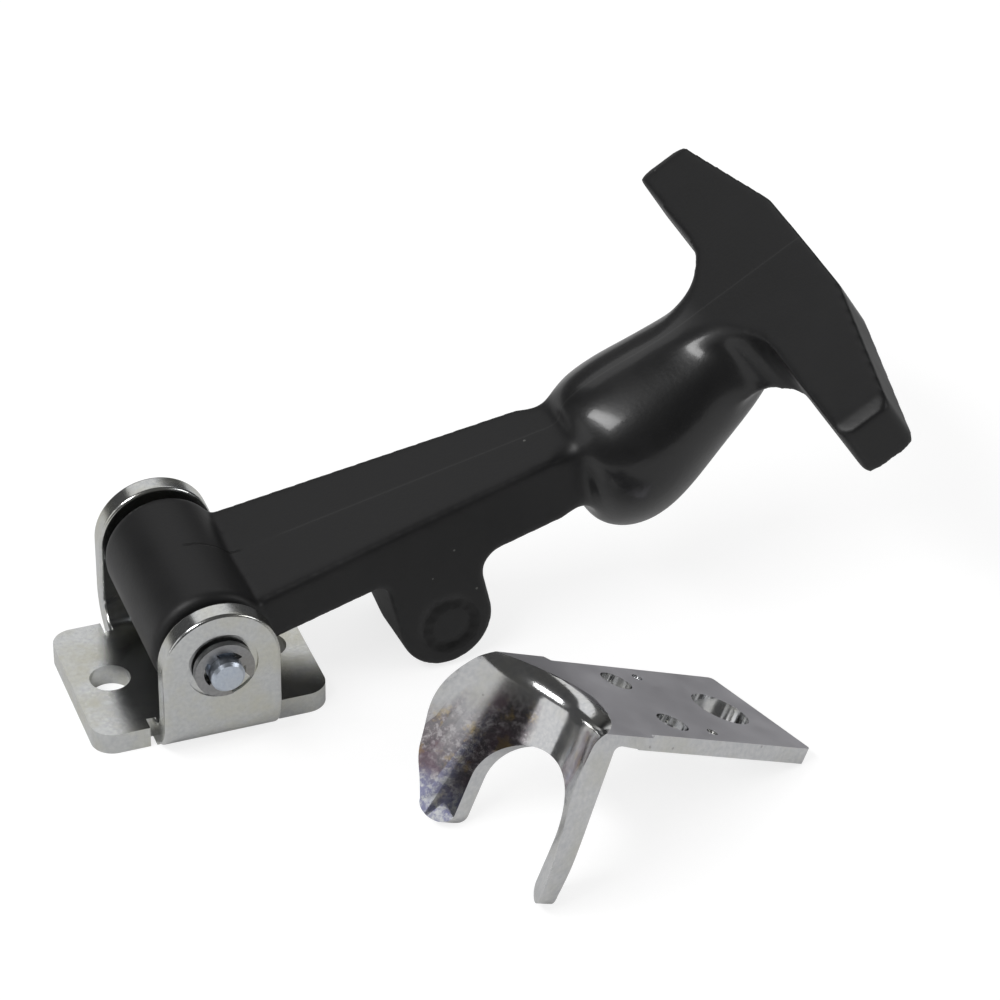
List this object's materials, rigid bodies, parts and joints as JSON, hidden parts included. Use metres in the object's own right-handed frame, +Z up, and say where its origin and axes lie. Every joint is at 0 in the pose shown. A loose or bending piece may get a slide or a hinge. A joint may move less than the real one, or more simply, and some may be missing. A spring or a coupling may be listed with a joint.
{
  "type": "rubber draw latch",
  "caption": "Rubber T-handle draw latch: handle on a hinge pin between the ears of a folded steel bracket, with a separate forked steel keeper",
  "frame": {"origin": "Centre of the bracket's base, on its underside, below the hinge pin", "axes": "+X from the bracket along the strap towards the T-handle, +Y along the hinge pin away from the clip, +Z up out of the base"},
  "size_m": [0.1133, 0.1026, 0.0553],
  "materials": {
    "plated_steel": "zinc plated, satin",
    "pin_steel": "zinc plated, satin",
    "clip_steel": "plain spring steel",
    "black_rubber": "moulded, satin",
    "keeper_steel": "bright plated, pressed"
  },
  "bodies": {
    "base": {"bracket": "plated_steel", "hinge_pin": "pin_steel", "retaining_clip": "clip_steel", "keeper": "keeper_steel"},
    "handle": {"rubber_handle": "black_rubber"}
  },
  "joints": [
    {"name": "handle_swing", "type": "hinge", "parent": "base", "child": "handle", "pos_m": [0, 0, 0.015], "axis": [0, -1, 0], "range_deg": [-13, 150]}
  ]
}
